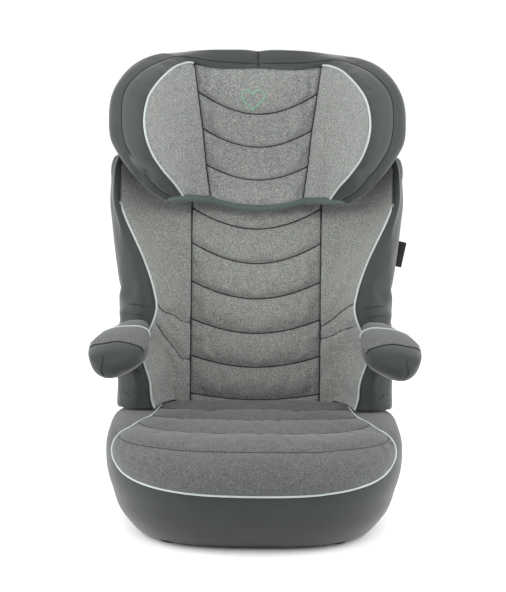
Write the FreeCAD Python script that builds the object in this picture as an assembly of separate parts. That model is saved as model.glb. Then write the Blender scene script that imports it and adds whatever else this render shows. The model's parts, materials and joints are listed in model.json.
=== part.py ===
"""High-back booster seat: a padded base, a reclining backrest with armrests, and a headrest
that slides up the backrest in seven steps.

Millimetres. +Z is up, the child faces -Y and X runs across the seat. The origin is on the
ground under the middle of the whole seat. The backrest and the headrest are drawn upright
and then leaned back about the hinge rod, so their levels below are heights on the upright back.
"""
import FreeCAD, Part
import os
from math import copysign, cos, hypot, pi, sin

V = FreeCAD.Vector

# --- driving dimensions -----------------------------------------------------------------
LEAN = 10.0               # backrest angle behind upright, degrees
HINGE_Y = 130.0           # hinge rod axis
HINGE_Z = 70.0
ROD_R = 5.0
RUN_FIT = 0.05            # radial clearance of the turning hinge

COVER = 3.0               # quilted textile cover
SIDE_PAD = 5.0            # side cover with its foam backing
WALL = 3.0                # moulded plastic wall
SEAM_GAP = 0.3            # air between a cover and the part under it
SHELL_GAP = 1.0           # soft allowance between a side cover and its shell

FOOT_H = 4.0              # rubber feet under the base
FEET = [(118, -130), (-118, -130), (118, 138), (-118, 138)]
DECK_Z = 118.0            # moulded deck that carries the seat foam
SEAT_TOP = 151.0
FRONT_POWER = 3.0         # superellipse powers of the base's plan
REAR_POWER = 6.0
BASE_REAR = 88.0          # rear wall of the padded base
LEDGE_FRONT = 70.0        # low bracket let into the tray's rear edge, which carries the hinge
LEDGE_REAR = 157.0
LEDGE_TOP = 48.0
LEDGE_HALF = 150.0
EAR_INNER = 96.0          # hinge ears on the ledge
EAR_THICK = 12.0
EAR_R = 14.0

BACK_BOTTOM = 146.0       # lower end of the backrest's flat plate
PAD_BOTTOM = 138.0        # the centre pad reaches lower, behind the seat cushion
WING_CLEARANCE = 2.5      # between the wings' lower edge and the top of the base
PAD_TOP = 560.0
SHELL_TOP = 575.0
PAD_HALF = 100.0          # half-width of the centre pad
PAD_FRONT = 84.0
PAD_REAR = 104.0
RECESS_FRONT = 93.0       # thinner pad behind the headrest
RECESS_FROM = 425.0
RECESS_TO = 450.0
PLATE_FRONT = 105.0       # flat plate of the backrest shell
PLATE_REAR = 108.5

CHANNEL_HALF = 75.0       # channel for the headrest stem
CHANNEL_FLOOR = 124.0
CHANNEL_REAR = 127.5
RAIL_INNER = 62.0
RAIL_FRONT = 107.0
RAIL_BOTTOM = 200.0
RAIL_TOP = 570.0
STEM_HALF = 66.0
STEM_FRONT = 118.5
STEM_REAR = 122.5
STEM_BOTTOM = 330.0
STEM_TOP = 604.0

LATCH_Z = 400.0           # bolts at the lowest headrest position
STEP = 25.0               # pitch of the headrest positions
POSITIONS = 7
BOLT_TIP = 70.0
BOLT_TRAVEL = 9.0
BOLT_HALF = 4.8           # half-height of a bolt
PIN_X = 34.0              # cam pin on each bolt
PIN_R = 2.5
HANDLE_BOTTOM = 620.0     # release handle at rest, a bolt's travel below the rear cover's roof

HEAD_FRONT = 60.0         # front of the head pad
HEAD_PLATE_FRONT = 87.5
HEAD_PLATE_REAR = 91.0
HEAD_BOTTOM = 449.0
HEAD_TOP = 676.0

GUIDE_INNER = 118.0       # shoulder belt guides behind the headrest's wings
GUIDE_OUTER = 156.0
GUIDE_FRONT = 76.5
GUIDE_REAR = 81.5
GUIDE_SCREW_X = 123.0
GUIDE_SCREW_LEVELS = (467, 495)

# Backrest wing at each level: height, piping x, piping y, outermost x.
WING = [
    (132, 150, 15, 202), (165, 154, 13, 203), (200, 163, 12, 204), (250, 160, 10, 205), (285, 149, 10, 204),
    (330, 156, 12, 207), (380, 178, 18, 214), (430, 193, 34, 221), (475, 197, 44, 222),
    (505, 196, 51, 221), (516, 193, 53, 217),
]

# Headrest wing at each level: height, centre seam x, piping x and y, outer seam x and y,
# outermost x and y.
EAR = [
    (455, 71, 108, 46, 128, 42, 147, 50), (475, 73, 126, 20, 152, 18, 172, 32),
    (495, 76, 141, -4, 176, -2, 192, 20), (520, 79, 154, -26, 192, -12, 211, 14),
    (550, 82, 163, -40, 200, -16, 220, 14), (575, 86, 163, -44, 200, -17, 221, 14),
    (600, 89, 157, -40, 197, -14, 217, 14), (620, 92, 144, -27, 186, -4, 206, 20),
    (640, 95, 122, -2, 164, 12, 190, 32), (655, 97, 104, 36, 134, 36, 168, 50),
]

# Base cover at each level: height, half-width, front y, rear y.
BASE = [
    (6, 178, -176, 82), (20, 188, -192, 85), (40, 200, -208, BASE_REAR), (65, 207, -221, BASE_REAR),
    (90, 214, -228, BASE_REAR), (115, 216, -226, BASE_REAR), (133, 214, -216, BASE_REAR),
    (143, 208, -200, 87), (149, 195, -182, 84), (SEAT_TOP, 176, -162, 78),
]


# --- small tools --------------------------------------------------------------------------
def box(x0, x1, y0, y1, z0, z1):
    return Part.makeBox(x1 - x0, y1 - y0, z1 - z0, V(x0, y0, z0))


def rod(start, end, radius):
    axis = V(*end) - V(*start)
    return Part.makeCylinder(radius, axis.Length, V(*start), axis)


def mirror(shape):
    return shape.mirror(V(0, 0, 0), V(1, 0, 0))


def both_sides(shape):
    return Part.makeCompound([shape, mirror(shape)])


def lean(shape):
    """Lean an upright part of the back about the hinge rod."""
    leaned = shape.copy()
    leaned.rotate(V(0, HINGE_Y, HINGE_Z), V(1, 0, 0), -LEAN)
    return leaned


def prism(points, start, end, axis):
    """Extrude a closed outline along X, Y or Z from start to end."""
    places = {
        "x": lambda a, b: V(start, a, b),
        "y": lambda a, b: V(a, start, b),
        "z": lambda a, b: V(a, b, start),
    }
    corners = [places[axis](a, b) for a, b in points]
    face = Part.Face(Part.makePolygon(corners + corners[:1]))
    length = end - start
    return face.extrude(V(length * (axis == "x"), length * (axis == "y"), length * (axis == "z")))


def spline(points):
    curve = Part.BSplineCurve()
    curve.interpolate(points)
    return curve.toShape()


def inset(path, distance):
    """Move an open plan path sideways, to the left of its direction for a positive distance."""
    moved = []
    for i, (x, y) in enumerate(path):
        before = path[max(i - 1, 0)]
        after = path[min(i + 1, len(path) - 1)]
        run_x = after[0] - before[0]
        run_y = after[1] - before[1]
        length = hypot(run_x, run_y)
        moved.append((x - run_y / length * distance, y + run_x / length * distance))
    return moved


def loft(sections):
    """Loft closed sections. Each is (z, one face's plan points, the other face's plan points)."""
    wires = []
    for z, near, far in sections:
        front = [V(x, y, z) for x, y in near]
        back = [V(x, y, z) for x, y in reversed(far)]
        wires.append(Part.Wire([
            spline(front), Part.makeLine(front[-1], back[0]),
            spline(back), Part.makeLine(back[-1], front[0]),
        ]))
    return Part.makeLoft(wires, True)


def ring(points, z):
    curve = Part.BSplineCurve()
    curve.interpolate([V(x, y, z) for x, y in points], PeriodicFlag=True)
    return Part.Wire(curve.toShape())


# --- base -------------------------------------------------------------------------------
def base_plan(half, front, rear, count=28):
    """Plan outline of the base: a full round front and a squarer back."""
    points = []
    for i in range(count):
        angle = 2 * pi * (i + 0.5) / count
        forward = sin(angle) < 0
        power = 2 / FRONT_POWER if forward else 2 / REAR_POWER
        length = -front if forward else rear
        x = half * copysign(abs(cos(angle)) ** power, cos(angle))
        y = length * copysign(abs(sin(angle)) ** power, sin(angle))
        points.append((x, y))
    return points


def base_form(skin, top=SEAT_TOP):
    """Solid of the base inside its cover's outer face by the distance skin, cut off at top."""
    wires = []
    for z, half, front, rear in BASE:
        wires.append(ring(base_plan(half - skin, front + skin, rear - skin), z))
    return Part.makeLoft(wires, True).common(box(-300, 300, -300, 300, 0, top))


def seat_panel_cutter():
    """Region of the light seat panel: it covers the top and rolls down over the nose."""
    right = [(140, 100), (144, 25), (166, -25), (192, -98), (260, -130), (260, -300)]
    outline = [(-x, y) for x, y in right] + right[::-1]
    column = prism(outline, 0, 200, "z")
    above_piping = prism([(-300, 78), (-228, 92), (-140, 115), (100, 122), (100, 200), (-300, 200)],
                         -300, 300, "x")
    return column.common(above_piping)


def base_shell():
    """Moulded tray: outer walls, a deck under the foam and a rib grid below it."""
    outer_skin = COVER + SEAM_GAP
    walls = base_form(outer_skin, DECK_Z).cut(base_form(outer_skin + WALL, DECK_Z - WALL))
    ribs = [box(x - 1.2, x + 1.2, -300, 300, 12, DECK_Z - 1) for x in range(-180, 181, 60)]
    ribs += [box(-300, 300, y - 1.2, y + 1.2, 12, DECK_Z - 1) for y in range(-165, 76, 60)]
    posts = [rod((x, y, FOOT_H), (x, y, DECK_Z - 1), 14) for x, y in FEET if y < 0]
    grid = ribs[0].multiFuse(ribs[1:]).common(base_form(outer_skin + 1, DECK_Z - 1))
    tray = walls.multiFuse([grid] + posts)
    return tray.cut(box(-LEDGE_HALF, LEDGE_HALF, LEDGE_FRONT, 200, 0, LEDGE_TOP))


def hinge_bracket():
    """Low moulding behind the padded base, with the two ears that hold the hinge rod."""
    block = box(-LEDGE_HALF, LEDGE_HALF, LEDGE_FRONT, LEDGE_REAR, FOOT_H, LEDGE_TOP)
    uprights = [e for e in block.Edges if abs(e.Vertexes[0].Z - e.Vertexes[-1].Z) > 10]
    rear = [e for e in uprights if e.Vertexes[0].Y > 100]
    block = block.makeFillet(28, rear)
    hollow = box(-LEDGE_HALF + WALL, LEDGE_HALF - WALL, 90, LEDGE_REAR - WALL, 0, LEDGE_TOP - WALL)
    block = block.cut(hollow.makeFillet(25, [
        e for e in hollow.Edges
        if abs(e.Vertexes[0].Z - e.Vertexes[-1].Z) > 10 and e.Vertexes[0].Y > 100
    ]))
    ledge_ribs = [box(x - 1.2, x + 1.2, 88, LEDGE_REAR - 2, 12, LEDGE_TOP - 1)
                  for x in range(-120, 121, 40)]
    ears = []
    for start in (EAR_INNER, -EAR_INNER - EAR_THICK):
        cheek = rod((start, HINGE_Y, HINGE_Z), (start + EAR_THICK, HINGE_Y, HINGE_Z), EAR_R)
        foot = box(start, start + EAR_THICK, HINGE_Y - EAR_R, HINGE_Y + EAR_R, LEDGE_TOP - 2, HINGE_Z)
        ears += [cheek, foot]
    pads = [box(x - 14, x + 14, y - 14, LEDGE_REAR - 2, FOOT_H, FOOT_H + WALL) for x, y in FEET if y > 0]
    ledge = block.multiFuse(ledge_ribs + ears + pads)
    return ledge.cut(rod((-200, HINGE_Y, HINGE_Z), (200, HINGE_Y, HINGE_Z), ROD_R + 0.02))


def base_feet():
    return Part.makeCompound([rod((x, y, 0), (x, y, FOOT_H), 13) for x, y in FEET])


def hinge_rod():
    end = EAR_INNER + EAR_THICK + 3
    return rod((-end, HINGE_Y, HINGE_Z), (end, HINGE_Y, HINGE_Z), ROD_R)


def hinge_rod_caps():
    inner = EAR_INNER + EAR_THICK + 0.2
    cap = rod((inner, HINGE_Y, HINGE_Z), (inner + 7, HINGE_Y, HINGE_Z), 9)
    socket = rod((inner - 1, HINGE_Y, HINGE_Z), (inner + 3.2, HINGE_Y, HINGE_Z), ROD_R)
    return both_sides(cap.makeFillet(2, [cap.Edges[0]]).cut(socket))


def seat_foam():
    foam = base_form(COVER + SEAM_GAP, SEAT_TOP - COVER)
    return foam.common(box(-300, 300, -300, 300, DECK_Z + 0.2, SEAT_TOP))


def seat_covers():
    """The light seat panel and the dark skirt, parted along the piping."""
    skin = base_form(0).cut(base_form(COVER, SEAT_TOP - COVER))
    skin = skin.cut(box(-LEDGE_HALF - 0.3, LEDGE_HALF + 0.3, 50, 200, 0, LEDGE_TOP + 0.3))
    cutter = seat_panel_cutter()
    return skin.common(cutter), skin.cut(cutter)


# --- backrest, drawn upright -----------------------------------------------------------------
def wing_cover_path(pipe_x, pipe_y, outer):
    """Outer face of the dark side cover, from the piping round to its hem on the back."""
    return [
        (pipe_x, pipe_y),
        (pipe_x + 0.45 * (outer - pipe_x), pipe_y - 8),
        (outer - 5, pipe_y + 8),
        (outer, 64),
        (outer - 3, 92),
        (outer - 12, 107),
        (outer - 30, 114.2),
    ]


def wing_face_path(pipe_x, pipe_y, front):
    """Light inner face of a wing, from the centre pad's seam to the piping."""
    run = pipe_x - PAD_HALF
    rise = front - pipe_y
    behind_headrest = front == RECESS_FRONT
    near, far = (0.06, 0.34) if behind_headrest else (0.16, 0.50)
    return [
        (PAD_HALF, front),
        (PAD_HALF + 0.46 * run, front - near * rise),
        (PAD_HALF + 0.83 * run, front - far * rise),
        (pipe_x, pipe_y),
    ]


def side_cover():
    sections = []
    for z, pipe_x, pipe_y, outer in WING:
        path = wing_cover_path(pipe_x, pipe_y, outer)
        sections.append((z, path, inset(path, SIDE_PAD)))
    return loft(sections)


def shell_wing():
    sections = []
    for z, pipe_x, pipe_y, outer in WING:
        cover = wing_cover_path(pipe_x, pipe_y, outer)
        outside = inset(cover, SIDE_PAD + SHELL_GAP)[1:-1]
        inside = inset(cover, SIDE_PAD + SHELL_GAP + WALL)[1:-1]
        flat = (outer - 34, outer - 58, 120)
        outside += [(x, PLATE_REAR) for x in flat]
        inside += [(x, PLATE_FRONT) for x in flat]
        sections.append((z, outside, inside))
    return loft(sections)


def wing_pad():
    sections = []
    for z, pipe_x, pipe_y, outer in WING:
        front = PAD_FRONT if z < RECESS_FROM else RECESS_FRONT
        face = wing_face_path(pipe_x - SEAM_GAP, pipe_y, front)
        cover = wing_cover_path(pipe_x, pipe_y, outer)
        behind = inset(cover, SIDE_PAD + 2 * SHELL_GAP + WALL)[1:-1]
        edge_x, edge_y = inset(cover, SIDE_PAD + SEAM_GAP)[0]
        flat = (PAD_HALF, 120, outer - 58, outer - 34)
        rear = [(x, PAD_REAR - 1.5) for x in flat] + behind[::-1] + [(edge_x - SEAM_GAP, edge_y)]
        sections.append((z, face, rear))
    return loft(sections)


def backrest_shell():
    """One moulding, already leaned: plate, stem channel, two wings, rear ribs and hinge lugs."""
    plate = box(-135, 135, PLATE_FRONT, PLATE_REAR, BACK_BOTTOM, SHELL_TOP)
    top_corners = [e for e in plate.Edges
                   if abs(e.Vertexes[0].Y - e.Vertexes[-1].Y) > 1 and e.Vertexes[0].Z > 500]
    plate = plate.makeFillet(40, top_corners)
    half = CHANNEL_HALF + PLATE_REAR - PLATE_FRONT
    channel = box(-half, half, PLATE_FRONT, CHANNEL_REAR, BACK_BOTTOM, SHELL_TOP)
    hollow = box(-CHANNEL_HALF, CHANNEL_HALF, 0, CHANNEL_FLOOR, BACK_BOTTOM + 4, SHELL_TOP + 1)
    ribs = [box(x - 1.5, x + 1.5, CHANNEL_REAR - 1, CHANNEL_REAR + 3.5, 170, 555) for x in (-40, 0, 40)]
    stop = box(-30, 30, 116, CHANNEL_FLOOR + 1, STEM_BOTTOM - 12, STEM_BOTTOM - 0.3)
    wing = shell_wing()
    body = plate.multiFuse([channel, wing, mirror(wing)]).cut(hollow)
    body = body.multiFuse(ribs + [stop] + hinge_lugs())
    screws = [rod((x, 100, z), (x, 140, z), 1.85) for x in (-70, 70) for z in rail_screw_levels()]
    body = lean(body.cut(Part.makeCompound(screws + [hinge_bore()])))
    return body.cut(box(-300, 300, -300, BASE_REAR + 4, 0, SEAT_TOP + WING_CLEARANCE))


def hinge_lugs():
    """Lower web of the shell and the four lugs that turn on the rod."""
    web = box(-90, 90, 112, 118, HINGE_Z + 16, BACK_BOTTOM + 2)
    shelf = box(-90, 90, 112, CHANNEL_REAR, BACK_BOTTOM, BACK_BOTTOM + 4)
    parts = [web, shelf]
    for start in (-92, -38, 24, 78):
        eye = rod((start, HINGE_Y, HINGE_Z), (start + 14, HINGE_Y, HINGE_Z), 13)
        arm = prism([(117, HINGE_Z), (HINGE_Y + 13, HINGE_Z), (CHANNEL_REAR, BACK_BOTTOM + 3),
                     (112, BACK_BOTTOM + 3), (112, HINGE_Z + 14)], start, start + 14, "x")
        parts += [eye, arm]
    return parts


def hinge_bore():
    return rod((-120, HINGE_Y, HINGE_Z), (120, HINGE_Y, HINGE_Z), ROD_R + RUN_FIT)


def rail_screw_levels():
    return (215, 322, 440, 562)


def slide_rail():
    """Right-hand rail: a groove for the stem's edge and seven pockets for the bolt."""
    rail = box(RAIL_INNER, CHANNEL_HALF, RAIL_FRONT, CHANNEL_FLOOR, RAIL_BOTTOM, RAIL_TOP)
    groove = box(RAIL_INNER - 1, STEM_HALF + 1, STEM_FRONT - 0.5, STEM_REAR + 0.5, 0, 700)
    pockets = []
    for k in range(POSITIONS):
        level = LATCH_Z + k * STEP
        pockets.append(box(RAIL_INNER - 1, BOLT_TIP + 1, 111.5, STEM_FRONT, level - 5.5, level + 5.5))
    holes = [rod((70, 119, z), (70, 130, z), 1.85) for z in rail_screw_levels()]
    return rail.cut(Part.makeCompound([groove] + pockets + holes))


def rail_screws():
    screws = []
    for x in (-70, 70):
        for z in rail_screw_levels():
            shank = rod((x, 120, z), (x, CHANNEL_REAR + 0.5, z), 1.8)
            head = rod((x, CHANNEL_REAR, z), (x, CHANNEL_REAR + 2.4, z), 3.6)
            screws.append(shank.fuse(head))
    return Part.makeCompound(screws)


def pad_profile(front, recess, rear):
    """Side outline of the centre pad, thinner where the headrest runs in front of it."""
    return [(front, PAD_BOTTOM), (front, RECESS_FROM), (recess, RECESS_TO), (recess, PAD_TOP - 8),
            (recess + 2, PAD_TOP), (rear, PAD_TOP), (rear, PAD_BOTTOM)]


def backrest_foam():
    profile = pad_profile(PAD_FRONT + COVER, RECESS_FRONT + COVER, PAD_REAR)
    return prism(profile, -PAD_HALF + 0.2, PAD_HALF - 0.2, "x")


def backrest_cover():
    strip = [(PAD_FRONT, PAD_BOTTOM), (PAD_FRONT, RECESS_FROM), (RECESS_FRONT, RECESS_TO),
             (RECESS_FRONT, PAD_TOP), (RECESS_FRONT + COVER, PAD_TOP),
             (RECESS_FRONT + COVER, RECESS_TO), (PAD_FRONT + COVER, RECESS_FROM),
             (PAD_FRONT + COVER, PAD_BOTTOM)]
    return prism(strip, -PAD_HALF + 0.2, PAD_HALF - 0.2, "x")


def side_label():
    """Small blank fabric tag sewn into the right wing's outer edge, turned to the front."""
    return prism([(214, 390), (230, 386), (220, 348), (206, 352)], 62, 63.2, "y")


# --- armrests, drawn in place ------------------------------------------------------------------
# Sections of a padded armrest from the wing forward: y, inner x, outer x, bottom z, top z.
ARM = [(60, 160, 204, 225, 281), (38, 158, 208, 220, 284), (15, 155, 222, 214, 283), (-20, 153, 236, 209, 279),
       (-50, 158, 241, 209, 272), (-72, 168, 239, 214, 261), (-82, 180, 230, 224, 252)]
ARM_CORE_DEPTH = 14.0     # foam and textile around the armrest's core


def arm_ring(y, x0, x1, z0, z1, shrink, count=16):
    half_x = (x1 - x0) / 2 - shrink
    half_z = (z1 - z0) / 2 - shrink
    points = []
    for i in range(count):
        angle = 2 * pi * i / count
        x = (x0 + x1) / 2 + half_x * copysign(abs(cos(angle)) ** 0.8, cos(angle))
        z = (z0 + z1) / 2 + half_z * copysign(abs(sin(angle)) ** 0.8, sin(angle))
        points.append(V(x, y, z))
    curve = Part.BSplineCurve()
    curve.interpolate(points, PeriodicFlag=True)
    return Part.Wire(curve.toShape())


def armrest_form(shrink, front=-100):
    return Part.makeLoft([arm_ring(*row, shrink) for row in ARM if row[0] > front], True)


def wing_envelope():
    """Everything between the outer faces of a wing, to cut the armrest's sleeve against."""
    sections = []
    for z, pipe_x, pipe_y, outer in WING:
        face = wing_face_path(pipe_x, pipe_y, PAD_FRONT)
        behind = wing_cover_path(pipe_x, pipe_y, outer)[1:]
        sections.append((z, face, [(PAD_HALF, PAD_REAR)] + behind[::-1]))
    return lean(loft(sections))


def largest(shape):
    return max(shape.Solids, key=lambda solid: solid.Volume)


def armrest_root(clearance):
    """Square root of the armrest's core, which passes through the cover to the shell."""
    return box(174 - clearance, 194 + clearance, -20, 64, 240 - clearance, 264 + clearance)


def armrest_sides():
    """The right wing's pad and cover with the armrest's core set into them, and its sleeve."""
    over_base = box(-300, 300, -300, BASE_REAR + 4, 0, SEAT_TOP + WING_CLEARANCE)
    cover = lean(side_cover()).cut(over_base)
    pad = lean(wing_pad()).cut(over_base)
    envelope = wing_envelope()
    horn = armrest_form(ARM_CORE_DEPTH + SEAM_GAP, -60).cut(envelope).cut(cover)
    core = largest(horn).fuse(armrest_root(0)).cut(lean(shell_wing()))
    socket = armrest_root(SEAM_GAP)
    sleeve = armrest_form(0).cut(armrest_form(ARM_CORE_DEPTH, -60))
    sleeve = sleeve.cut(envelope).cut(cover).cut(pad).cut(socket)
    return {
        "side_cover": largest(cover.cut(socket)),
        "wing_pad": largest(pad.cut(socket)),
        "armrest_pad": largest(sleeve),
        "armrest_core": largest(core),
    }


# --- headrest, drawn upright -----------------------------------------------------------------
def ear_cover_path(seam_x, pipe, outer_seam, outer):
    """Outer face of the dark headrest cover, from the piping round to the back plate."""
    rear = HEAD_PLATE_REAR + COVER
    turn = (outer[0] - 0.35 * (outer[0] - seam_x), rear - 0.40 * (rear - outer[1]))
    end = (seam_x + 8, rear - 2)
    return [
        pipe,
        ((pipe[0] + outer_seam[0]) / 2, (pipe[1] + outer_seam[1]) / 2 - 4),
        outer_seam,
        outer,
        (outer[0] - 8, outer[1] + 21),
        turn,
        ((turn[0] + end[0]) / 2, (turn[1] + end[1]) / 2),
        end,
    ]


def ear_rows():
    rows = []
    for z, seam_x, pipe_x, pipe_y, out_x, out_y, far_x, far_y in EAR:
        path = ear_cover_path(seam_x, (pipe_x, pipe_y), (out_x, out_y), (far_x, far_y))
        rows.append((z, seam_x, (pipe_x, pipe_y), path))
    return rows


def head_side_cover():
    return loft([(z, path, inset(path, SIDE_PAD)) for z, seam_x, pipe, path in ear_rows()])


def headrest_shell():
    """Moulded C-shaped shell: a flat back plate and two curved side wings."""
    sections = []
    for z, seam_x, pipe, path in ear_rows()[1:-1]:
        bend = [(seam_x + 2, 4.8), (60, 1.0), (48, 0)]
        outside = inset(path, SIDE_PAD + SHELL_GAP)[2:-1]
        inside = inset(path, SIDE_PAD + SHELL_GAP + WALL)[2:-1]
        outside += [(x, HEAD_PLATE_REAR - forward) for x, forward in bend]
        inside += [(x, HEAD_PLATE_FRONT - forward) for x, forward in bend]
        sections.append((z, outside, inside))
    wing = loft(sections)
    plate = box(-60, 60, HEAD_PLATE_FRONT, HEAD_PLATE_REAR, HEAD_BOTTOM + 6, 655)
    return plate.multiFuse([wing, mirror(wing)] + stem_bosses())


def stem_bosses():
    """Blocks that carry the stem, above the top of the backrest."""
    return [box(x, x + 34, HEAD_PLATE_REAR - 1, STEM_FRONT, 582, STEM_TOP) for x in (20, -54)]


def head_wing_pad():
    sections = []
    for z, seam_x, pipe, path in ear_rows():
        edge = pipe[0] - SEAM_GAP
        face = [
            (seam_x, HEAD_FRONT),
            (seam_x + 0.42 * (edge - seam_x), HEAD_FRONT - 0.20 * (HEAD_FRONT - pipe[1])),
            (seam_x + 0.80 * (edge - seam_x), HEAD_FRONT - 0.58 * (HEAD_FRONT - pipe[1])),
            (edge, pipe[1]),
        ]
        behind = inset(path, SIDE_PAD + 2 * SHELL_GAP + WALL)[1:-1]
        hem_x, hem_y = inset(path, SIDE_PAD + SEAM_GAP)[0]
        rear = [(seam_x, HEAD_PLATE_FRONT - 6)] + behind[::-1] + [(hem_x - SEAM_GAP, hem_y)]
        sections.append((z, face, rear))
    return loft(sections)


def head_pad_outline(gap):
    """Front outline of the centre pad, short of the wings' seams by gap."""
    right = [(EAR[0][1] - gap, HEAD_BOTTOM)] + [(row[1] - gap, row[0]) for row in EAR]
    return [(-x, z) for x, z in right] + right[::-1]


def head_foam():
    """Centre foam with a raised block behind, which fills the flat of the shell."""
    foam = prism(head_pad_outline(2), HEAD_FRONT + COVER, HEAD_PLATE_FRONT - 6, "y")
    return foam.fuse(box(-50, 50, HEAD_PLATE_FRONT - 7, HEAD_PLATE_FRONT - 1.3, HEAD_BOTTOM + 6, 650))


def head_cover():
    return prism(head_pad_outline(2), HEAD_FRONT, HEAD_FRONT + COVER, "y")


def head_top_cover():
    """Dark roll that closes the headrest along its top edge."""
    wires = []
    for y, half, top in ((46, 112, 661), (56, 146, 670), (72, 160, HEAD_TOP), (94, 150, 669)):
        low = 655.4
        arch = [V(-half, y, low), V(-0.93 * half, y, low + 0.6 * (top - low)), V(-0.6 * half, y, top - 1),
                V(0, y, top), V(0.6 * half, y, top - 1), V(0.93 * half, y, low + 0.6 * (top - low)),
                V(half, y, low)]
        wires.append(Part.Wire([spline(arch), Part.makeLine(arch[-1], arch[0])]))
    return Part.makeLoft(wires, True)


def headrest_rear_cover():
    """Boxed cover over the stem's top, with a window for the release handle."""
    outer = box(-70, 70, HEAD_PLATE_REAR + 0.2, 126, 579, 653)
    outer = outer.makeFillet(6, [e for e in outer.Edges if e.BoundBox.YMin > 125])
    inner = box(-67, 67, 0, 123, 0, 650)
    window = box(-38, 38, 120, 130, 600, 648)
    return outer.cut(inner).cut(window)


def stem_screw_places():
    return [(-45, 593), (45, 593), (-28, 593), (28, 593)]


def headrest_stem():
    plate = box(-STEM_HALF, STEM_HALF, STEM_FRONT, STEM_REAR, STEM_BOTTOM, STEM_TOP)
    slot = box(-20, 20, 100, 140, 480, 540)
    holes = [rod((x, 100, z), (x, 130, z), 2.05) for x, z in stem_screw_places()]
    return plate.cut(Part.makeCompound([slot] + holes))


def stem_screws():
    screws = []
    for x, z in stem_screw_places():
        shank = rod((x, STEM_FRONT + 0.1, z), (x, STEM_REAR + 0.2, z), 2.0)
        screws.append(shank.fuse(rod((x, STEM_REAR, z), (x, STEM_REAR + 0.4, z), 4.5)))
    return Part.makeCompound(screws)


def latch_housing():
    """Box on the stem's front that guides the bolts, the cam plate and the pull strap."""
    outer = box(-59, 59, 106, STEM_FRONT - 0.1, 372, 452)
    cavity = box(-52, 52, 107.5, STEM_FRONT, 376, 448)
    bolt_way = box(-60, 60, 111.9, 118.1, LATCH_Z - BOLT_HALF - 0.1, LATCH_Z + BOLT_HALF + 0.1)
    strap_way = box(-9, 9, 107.5, 111.5, 440, 460)
    return outer.cut(Part.makeCompound([cavity, bolt_way, strap_way]))


def latch_springs():
    """Two return springs between the housing's roof and the cam plate's shoulders."""
    springs = []
    for x in (-30, 30):
        tube = rod((x, 113.5, 427.3), (x, 113.5, 447.7), 3.5)
        springs.append(tube.cut(rod((x, 113.5, 420), (x, 113.5, 450), 2.7)))
    return Part.makeCompound(springs)


def latch_bolt():
    bar = box(14, BOLT_TIP, 112, 118, LATCH_Z - BOLT_HALF, LATCH_Z + BOLT_HALF)
    pin = rod((PIN_X, 108.2, LATCH_Z), (PIN_X, 112.5, LATCH_Z), PIN_R)
    return bar.fuse(pin)


def latch_cam():
    """Plate with two 45 degree slots: lifting it draws both bolts inwards."""
    plate = box(-46, 46, 108, 111, 384, 412)
    radius = PIN_R + 0.2
    reach = BOLT_TRAVEL + 0.5
    side_step = radius / 2 ** 0.5
    slots = []
    for side in (-1, 1):
        start = (side * PIN_X, LATCH_Z)
        end = (side * (PIN_X - reach), LATCH_Z - reach)
        for x, z in (start, end):
            slots.append(rod((x, 107, z), (x, 112, z), radius))
        across = (side * side_step, -side_step)
        corners = [(start[0] + across[0], start[1] + across[1]), (start[0] - across[0], start[1] - across[1]),
                   (end[0] - across[0], end[1] - across[1]), (end[0] + across[0], end[1] + across[1])]
        slots.append(prism(corners, 107, 112, "y"))
    for slot in slots:
        plate = plate.cut(slot)
    return plate


def pull_strap():
    return box(-8, 8, 108.4, 110.6, 412, HANDLE_BOTTOM)


def release_handle():
    """Pull bar in the rear window, with a finger hollow along its lower edge."""
    bar = box(-34, 34, 107.5, 121, HANDLE_BOTTOM, HANDLE_BOTTOM + 19)
    corners = [e for e in bar.Edges if abs(e.Vertexes[0].Y - e.Vertexes[-1].Y) > 1]
    bar = bar.makeFillet(6, corners)
    hollow = HANDLE_BOTTOM - 2
    return bar.cut(rod((-24, 116, hollow), (24, 116, hollow), 4.5))


def belt_guide():
    """Flat hook behind the wing's lower edge; the shoulder belt slips into it from the side."""
    plate = box(GUIDE_INNER, GUIDE_OUTER, GUIDE_FRONT, GUIDE_REAR, 460, 502)
    upright = [e for e in plate.Edges if abs(e.Vertexes[0].Y - e.Vertexes[-1].Y) > 1]
    plate = plate.makeFillet(7, upright)
    slot = box(GUIDE_INNER + 10, GUIDE_OUTER + 5, 60, 90, 474, 484)
    entry = box(GUIDE_OUTER - 8, GUIDE_OUTER + 5, 60, 90, 483, 487)
    holes = [rod((GUIDE_SCREW_X, 60, z), (GUIDE_SCREW_X, 90, z), 1.85) for z in GUIDE_SCREW_LEVELS]
    return plate.cut(Part.makeCompound([slot, entry] + holes))


def guide_screws():
    screws = []
    x = GUIDE_SCREW_X
    for z in GUIDE_SCREW_LEVELS:
        shank = rod((x, GUIDE_FRONT + 0.2, z), (x, GUIDE_REAR + 0.2, z), 1.8)
        screws.append(shank.fuse(rod((x, GUIDE_REAR, z), (x, GUIDE_REAR + 1.4, z), 3.4)))
    return both_sides(Part.makeCompound(screws))


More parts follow.
